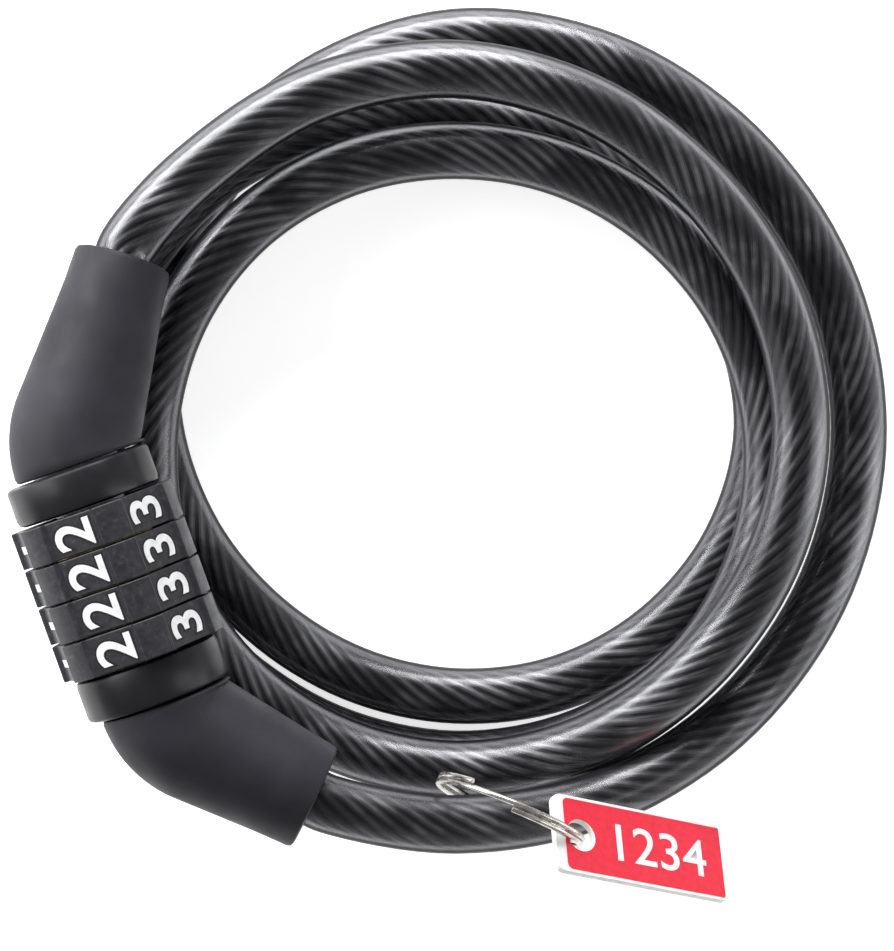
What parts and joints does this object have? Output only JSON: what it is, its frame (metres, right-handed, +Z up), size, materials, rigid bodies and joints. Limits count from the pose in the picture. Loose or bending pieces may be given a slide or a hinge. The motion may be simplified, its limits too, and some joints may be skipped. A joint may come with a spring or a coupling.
{
  "type": "cable lock",
  "caption": "self-coiling steel cable bicycle lock with a dial combination head, two elbow boots, a pull-out locking plug, and a code tag on a split ring",
  "frame": {"origin": "middle of the footprint, on the surface that the coil lies on", "axes": "+Z up along the coil's axis; +X towards the coil's side away from the lock head; the head lies at -X"},
  "size_m": [0.1824, 0.1866, 0.0621],
  "materials": {
    "smoky_pvc": "smoky translucent flexible PVC over a steel rope, glossy",
    "rope_steel": "stranded galvanised steel rope",
    "boot_plastic": "matte charcoal moulded plastic",
    "collar_plastic": "glossy black",
    "dial_plastic": "satin black with white numerals",
    "steel": "zinc plated",
    "spring_steel": "spring steel",
    "brass": "plain",
    "nickel": "bright nickel",
    "tag_red": "red engraving laminate over a white core"
  },
  "bodies": {
    "lock_body": {"core_tube": "steel", "detent_spring": "spring_steel", "dial_spacer_1": "brass", "dial_spacer_2": "brass", "dial_spacer_3": "brass", "wave_washer": "spring_steel", "upper_collar": "collar_plastic", "upper_collar_pin": "steel", "lower_collar": "collar_plastic", "lower_cross_pin": "steel", "lower_ferrule": "steel", "lower_boot": "boot_plastic", "cable_lead": "smoky_pvc", "cable_turn_1": "smoky_pvc", "cable_turn_2": "smoky_pvc", "cable_turn_3": "smoky_pvc", "steel_rope": "rope_steel"},
    "plug": {"upper_boot": "boot_plastic", "upper_ferrule": "steel", "locking_pin": "steel", "plug_cross_pin": "steel"},
    "dial_1_body": {"dial_1": "dial_plastic", "gate_ring_1": "brass"},
    "dial_2_body": {"dial_2": "dial_plastic", "gate_ring_2": "brass"},
    "dial_3_body": {"dial_3": "dial_plastic", "gate_ring_3": "brass"},
    "dial_4_body": {"dial_4": "dial_plastic", "gate_ring_4": "brass"},
    "split_ring_body": {"split_ring": "nickel"},
    "tag": {"code_tag": "tag_red"}
  },
  "joints": [
    {"name": "dial_1_turn", "type": "hinge", "parent": "lock_body", "child": "dial_1_body", "pos_m": [-0.07317, -0.01378, 0.04493], "axis": [-0.3338, 0.9426, 0], "continuous": true, "deforming": ["detent_spring"]},
    {"name": "dial_2_turn", "type": "hinge", "parent": "lock_body", "child": "dial_2_body", "pos_m": [-0.07047, -0.02142, 0.04493], "axis": [-0.3338, 0.9426, 0], "continuous": true, "deforming": ["detent_spring"]},
    {"name": "dial_3_turn", "type": "hinge", "parent": "lock_body", "child": "dial_3_body", "pos_m": [-0.06777, -0.02905, 0.04493], "axis": [-0.3338, 0.9426, 0], "continuous": true, "deforming": ["detent_spring"]},
    {"name": "dial_4_turn", "type": "hinge", "parent": "lock_body", "child": "dial_4_body", "pos_m": [-0.06506, -0.03669, 0.04493], "axis": [-0.3338, 0.9426, 0], "continuous": true, "deforming": ["detent_spring"]},
    {"name": "plug_slide", "type": "slide", "parent": "lock_body", "child": "plug", "axis": [-0.3338, 0.9426, 0], "range_m": [0, 0.034], "deforming": ["cable_lead", "steel_rope"]},
    {"name": "ring_swing", "type": "hinge", "parent": "lock_body", "child": "split_ring_body", "pos_m": [0.01344, -0.07538, 0.03542], "axis": [-0.9345, -0.0966, 0.3427], "range_deg": [-6, 5]},
    {"name": "tag_swing", "type": "hinge", "parent": "split_ring_body", "child": "tag", "pos_m": [0.02455, -0.07729, 0.04585], "axis": [-0.3001, 0.3696, 0.8794], "range_deg": [-15, 1]}
  ]
}
